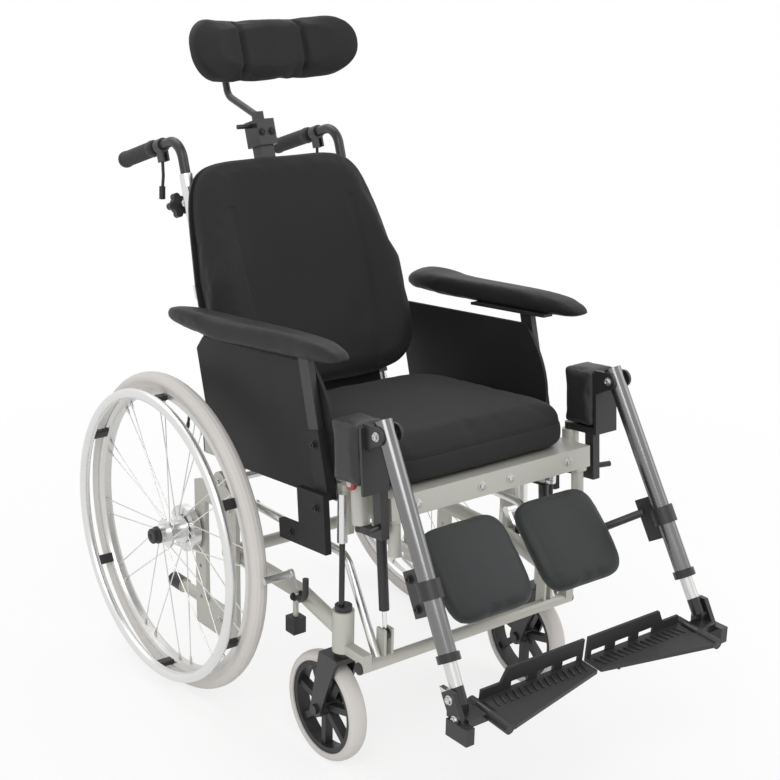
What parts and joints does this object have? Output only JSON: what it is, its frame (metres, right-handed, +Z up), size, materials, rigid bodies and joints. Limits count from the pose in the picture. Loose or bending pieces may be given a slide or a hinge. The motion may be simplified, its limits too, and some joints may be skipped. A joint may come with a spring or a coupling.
{
  "type": "tilt in space wheelchair",
  "caption": "Self-propelled wheelchair whose seat tilts as one on its base, with reclining back, headrest, swing-away elevating leg supports and calf pads.",
  "frame": {"origin": "floor, at the middle of the bounding box", "axes": "+Z up, front is -Y, the sitter's left is +X, in metres"},
  "size_m": [0.709, 1.2412, 1.237],
  "materials": {
    "frame_paint": "champagne grey powder coat, satin",
    "bright_metal": "brushed",
    "grey_metal": "grey anodised, satin",
    "black_metal": "black powder coat, satin",
    "black_plastic": "moulded, fine grain",
    "grip_rubber": "ribbed rubber",
    "tyre_rubber": "light grey rubber",
    "upholstery": "dark charcoal stretch cover"
  },
  "bodies": {
    "base": {"base_frame": "frame_paint", "base_braces": "bright_metal", "axle_plates": "frame_paint"},
    "seat": {"seat_frame": "frame_paint", "support_legs": "bright_metal", "seat_cushion": "upholstery", "side_panels": "black_plastic"},
    "back": {"back_frame": "bright_metal", "back_shell": "black_plastic", "back_cushion": "upholstery"},
    "tilt_cylinders": {"tilt_cylinders": "black_metal"},
    "tilt_rods": {"tilt_rods": "bright_metal"},
    "recline_cylinder": {"recline_cylinder": "black_metal"},
    "recline_rod": {"recline_rod": "bright_metal"},
    "rear_wheel_left": {"rear_tyre_left": "tyre_rubber", "rear_rim_left": "bright_metal", "rear_hub_left": "bright_metal", "handrim_left": "bright_metal"},
    "castor_fork_left": {"castor_fork_left": "black_metal"},
    "castor_wheel_left": {"castor_wheel_left": "black_plastic", "castor_tyre_left": "tyre_rubber"},
    "anti_tipper_left": {"anti_tipper_left": "frame_paint"},
    "wheel_lock_left": {"wheel_lock_left": "bright_metal"},
    "armrest_left": {"armrest_post_left": "black_metal", "armrest_pad_left": "upholstery"},
    "push_handle_left": {"push_handle_left": "black_metal", "handle_grip_left": "grip_rubber"},
    "release_lever_left": {"release_lever_left": "black_plastic"},
    "height_knob_left": {"height_knob_left": "black_plastic"},
    "legrest_hanger_left": {"legrest_hanger_left": "black_metal", "knee_pad_left": "upholstery"},
    "leg_tube_left": {"leg_tube_left": "grey_metal"},
    "extension_left": {"extension_tube_left": "bright_metal"},
    "footplate_left": {"footplate_left": "black_plastic"},
    "calf_support_left": {"calf_arm_left": "black_metal", "calf_pad_left": "upholstery"},
    "rear_wheel_right": {"rear_tyre_right": "tyre_rubber", "rear_rim_right": "bright_metal", "rear_hub_right": "bright_metal", "handrim_right": "bright_metal"},
    "castor_fork_right": {"castor_fork_right": "black_metal"},
    "castor_wheel_right": {"castor_wheel_right": "black_plastic", "castor_tyre_right": "tyre_rubber"},
    "anti_tipper_right": {"anti_tipper_right": "frame_paint"},
    "wheel_lock_right": {"wheel_lock_right": "bright_metal"},
    "armrest_right": {"armrest_post_right": "black_metal", "armrest_pad_right": "upholstery"},
    "push_handle_right": {"push_handle_right": "black_metal", "handle_grip_right": "grip_rubber"},
    "release_lever_right": {"release_lever_right": "black_plastic"},
    "height_knob_right": {"height_knob_right": "black_plastic"},
    "legrest_hanger_right": {"legrest_hanger_right": "black_metal", "knee_pad_right": "upholstery"},
    "leg_tube_right": {"leg_tube_right": "grey_metal"},
    "extension_right": {"extension_tube_right": "bright_metal"},
    "footplate_right": {"footplate_right": "black_plastic"},
    "calf_support_right": {"calf_arm_right": "black_metal", "calf_pad_right": "upholstery"},
    "headrest_arm": {"headrest_arm": "black_metal"},
    "headrest": {"headrest_pad": "upholstery"}
  },
  "joints": [
    {"name": "seat_tilt", "type": "hinge", "parent": "base", "child": "seat", "pos_m": [0, 0.1524, 0.425], "axis": [-1, 0, 0], "range_deg": [0, 15]},
    {"name": "back_recline", "type": "hinge", "parent": "seat", "child": "back", "pos_m": [0, 0.22172, 0.46009], "axis": [-1, 0, 0], "range_deg": [0, 25]},
    {"name": "tilt_cylinder_swing", "type": "hinge", "parent": "seat", "child": "tilt_cylinders", "pos_m": [0, -0.23387, 0.46181], "axis": [1, 0, 0], "range_deg": [-0.5, 13.5]},
    {"name": "tilt_rod_slide", "type": "slide", "parent": "tilt_cylinders", "child": "tilt_rods", "axis": [0, -0.0934, -0.9956], "range_m": [-0.001, 0.103]},
    {"name": "recline_cylinder_swing", "type": "hinge", "parent": "seat", "child": "recline_cylinder", "pos_m": [0, -0.0782, 0.4512], "axis": [1, 0, 0], "range_deg": [-0.5, 3]},
    {"name": "recline_rod_slide", "type": "slide", "parent": "recline_cylinder", "child": "recline_rod", "axis": [0, 0.9857, -0.1687], "range_m": [-0.026, 0.001]},
    {"name": "rear_wheel_spin_left", "type": "hinge", "parent": "base", "child": "rear_wheel_left", "pos_m": [0, 0.2524, 0.305], "axis": [1, 0, 0], "continuous": true},
    {"name": "castor_swivel_left", "type": "hinge", "parent": "base", "child": "castor_fork_left", "pos_m": [0.236, -0.2006, 0.2], "axis": [0, 0, 1], "continuous": true},
    {"name": "castor_spin_left", "type": "hinge", "parent": "castor_fork_left", "child": "castor_wheel_left", "pos_m": [0, -0.1566, 0.1], "axis": [1, 0, 0], "continuous": true},
    {"name": "anti_tipper_fold_left", "type": "hinge", "parent": "base", "child": "anti_tipper_left", "pos_m": [0, 0.1544, 0.148], "axis": [1, 0, 0], "range_deg": [0, 75]},
    {"name": "wheel_lock_turn_left", "type": "hinge", "parent": "base", "child": "wheel_lock_left", "pos_m": [0, -0.0926, 0.29], "axis": [-1, 0, 0], "range_deg": [0, 21]},
    {"name": "armrest_height_left", "type": "slide", "parent": "seat", "child": "armrest_left", "axis": [0, 0.2639, 0.9646], "range_m": [0, 0.07]},
    {"name": "push_handle_height_left", "type": "slide", "parent": "back", "child": "push_handle_left", "axis": [0, 0.309, 0.9511], "range_m": [0, 0.06]},
    {"name": "release_lever_squeeze_left", "type": "hinge", "parent": "push_handle_left", "child": "release_lever_left", "pos_m": [0, 0.46736, 0.97015], "axis": [1, 0, 0], "range_deg": [0, 32], "stiffness_Nm_per_rad": 0.1, "springref_deg": -11.46},
    {"name": "height_knob_turn_left", "type": "hinge", "parent": "back", "child": "height_knob_left", "pos_m": [0.181, 0.40186, 0.89154], "axis": [0, 0.9511, -0.309], "continuous": true},
    {"name": "legrest_swing_left", "type": "hinge", "parent": "seat", "child": "legrest_hanger_left", "pos_m": [0.239, -0.24671, 0.51011], "axis": [0, 0.0872, 0.9962], "range_deg": [0, 90]},
    {"name": "legrest_elevation_left", "type": "hinge", "parent": "legrest_hanger_left", "child": "leg_tube_left", "pos_m": [0, -0.33339, 0.65521], "axis": [-1, 0, 0], "range_deg": [0, 50]},
    {"name": "leg_length_left", "type": "slide", "parent": "leg_tube_left", "child": "extension_left", "axis": [0.0332, -0.4982, -0.8664], "range_m": [-0.02, 0.1]},
    {"name": "footplate_fold_left", "type": "hinge", "parent": "extension_left", "child": "footplate_left", "pos_m": [0.23566, -0.54613, 0.27325], "axis": [0, 0.9962, 0.0872], "range_deg": [0, 85]},
    {"name": "calf_swing_left", "type": "hinge", "parent": "leg_tube_left", "child": "calf_support_left", "pos_m": [0.26272, -0.45694, 0.44034], "axis": [-0.0332, 0.4982, 0.8664], "range_deg": [0, 30]},
    {"name": "rear_wheel_spin_right", "type": "hinge", "parent": "base", "child": "rear_wheel_right", "pos_m": [0, 0.2524, 0.305], "axis": [1, 0, 0], "continuous": true},
    {"name": "castor_swivel_right", "type": "hinge", "parent": "base", "child": "castor_fork_right", "pos_m": [-0.236, -0.2006, 0.2], "axis": [0, 0, 1], "continuous": true},
    {"name": "castor_spin_right", "type": "hinge", "parent": "castor_fork_right", "child": "castor_wheel_right", "pos_m": [0, -0.1566, 0.1], "axis": [1, 0, 0], "continuous": true},
    {"name": "anti_tipper_fold_right", "type": "hinge", "parent": "base", "child": "anti_tipper_right", "pos_m": [0, 0.1544, 0.148], "axis": [1, 0, 0], "range_deg": [0, 75]},
    {"name": "wheel_lock_turn_right", "type": "hinge", "parent": "base", "child": "wheel_lock_right", "pos_m": [0, -0.0926, 0.29], "axis": [-1, 0, 0], "range_deg": [0, 21]},
    {"name": "armrest_height_right", "type": "slide", "parent": "seat", "child": "armrest_right", "axis": [0, 0.2639, 0.9646], "range_m": [0, 0.07]},
    {"name": "push_handle_height_right", "type": "slide", "parent": "back", "child": "push_handle_right", "axis": [0, 0.309, 0.9511], "range_m": [0, 0.06]},
    {"name": "release_lever_squeeze_right", "type": "hinge", "parent": "push_handle_right", "child": "release_lever_right", "pos_m": [0, 0.46736, 0.97015], "axis": [1, 0, 0], "range_deg": [0, 32], "stiffness_Nm_per_rad": 0.1, "springref_deg": -11.46},
    {"name": "height_knob_turn_right", "type": "hinge", "parent": "back", "child": "height_knob_right", "pos_m": [-0.181, 0.40186, 0.89154], "axis": [0, 0.9511, -0.309], "continuous": true},
    {"name": "legrest_swing_right", "type": "hinge", "parent": "seat", "child": "legrest_hanger_right", "pos_m": [-0.239, -0.24671, 0.51011], "axis": [0, -0.0872, -0.9962], "range_deg": [0, 90]},
    {"name": "legrest_elevation_right", "type": "hinge", "parent": "legrest_hanger_right", "child": "leg_tube_right", "pos_m": [0, -0.33339, 0.65521], "axis": [-1, 0, 0], "range_deg": [0, 50]},
    {"name": "leg_length_right", "type": "slide", "parent": "leg_tube_right", "child": "extension_right", "axis": [-0.0332, -0.4982, -0.8664], "range_m": [-0.02, 0.1]},
    {"name": "footplate_fold_right", "type": "hinge", "parent": "extension_right", "child": "footplate_right", "pos_m": [-0.23566, -0.54613, 0.27325], "axis": [0, -0.9962, -0.0872], "range_deg": [0, 85]},
    {"name": "calf_swing_right", "type": "hinge", "parent": "leg_tube_right", "child": "calf_support_right", "pos_m": [-0.26272, -0.45694, 0.44034], "axis": [-0.0332, -0.4982, -0.8664], "range_deg": [0, 30]},
    {"name": "headrest_height", "type": "slide", "parent": "back", "child": "headrest_arm", "axis": [0, 0.309, 0.9511], "range_m": [0, 0.05]},
    {"name": "headrest_tilt", "type": "hinge", "parent": "headrest_arm", "child": "headrest", "pos_m": [0, 0.42818, 1.17319], "axis": [1, 0, 0], "range_deg": [-15, 15]}
  ],
  "couplings": [
    {"joint": "tilt_cylinder_swing", "follows": "seat_tilt", "ratio": 0.85},
    {"joint": "tilt_rod_slide", "follows": "seat_tilt", "m_per_rad": 0.3859},
    {"joint": "recline_cylinder_swing", "follows": "back_recline", "ratio": 0.0713},
    {"joint": "recline_rod_slide", "follows": "back_recline", "m_per_rad": -0.0558}
  ]
}
